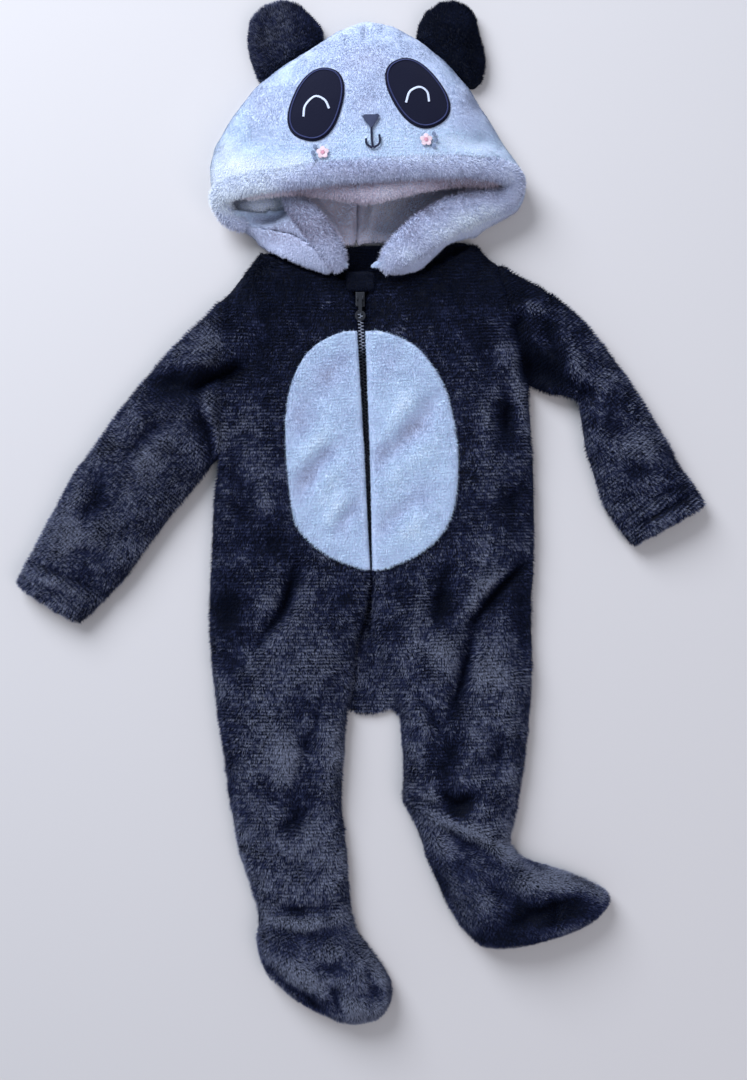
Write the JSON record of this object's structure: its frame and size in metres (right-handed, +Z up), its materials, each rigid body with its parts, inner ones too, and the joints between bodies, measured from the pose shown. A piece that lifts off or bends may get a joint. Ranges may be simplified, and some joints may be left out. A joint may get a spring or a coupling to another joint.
{
  "type": "panda onesie",
  "caption": "Baby's fleece one-piece with a panda face hood, round ears, pale tummy oval, front zip and closed feet, zipped up and laid flat on its back.",
  "frame": {"origin": "middle of the garment's bounding box, on the surface it lies on", "axes": "+X to the viewer's right across the sleeves, +Y from the feet to the hood, +Z up from the surface"},
  "size_m": [0.522, 0.774, 0.0452],
  "materials": {
    "black_fleece": "brushed coral fleece pile",
    "white_fleece": "brushed coral fleece pile",
    "eye_patch": "smooth short velour with a satin-stitched edge",
    "zip_tape": "woven polyester tape",
    "zip_plastic": "moulded acetal"
  },
  "bodies": {
    "onesie": {"front_left": "black_fleece", "front_right": "black_fleece", "back": "black_fleece", "sleeve_left": "black_fleece", "sleeve_right": "black_fleece", "foot_upper_left": "black_fleece", "foot_upper_right": "black_fleece", "foot_sole_left": "black_fleece", "foot_sole_right": "black_fleece", "ear_front_left": "black_fleece", "ear_front_right": "black_fleece", "ear_back_left": "black_fleece", "ear_back_right": "black_fleece", "hood_face": "white_fleece", "hood_back_left": "white_fleece", "hood_back_right": "white_fleece", "tummy_left": "white_fleece", "tummy_right": "white_fleece", "eye_patch_left": "eye_patch", "eye_patch_right": "eye_patch", "zip_guard": "zip_tape", "zip_tape_left": "zip_tape", "zip_tape_right": "zip_tape", "zip_chain": "zip_plastic", "zip_slider": "zip_plastic"},
    "pull": {"pull_tab": "zip_plastic"}
  },
  "joints": [
    {"name": "pull_swing", "type": "hinge", "parent": "onesie", "child": "pull", "pos_m": [-0.00048, 0.1585, 0.0223], "axis": [-1, 0, 0], "range_deg": [0, 165]}
  ]
}
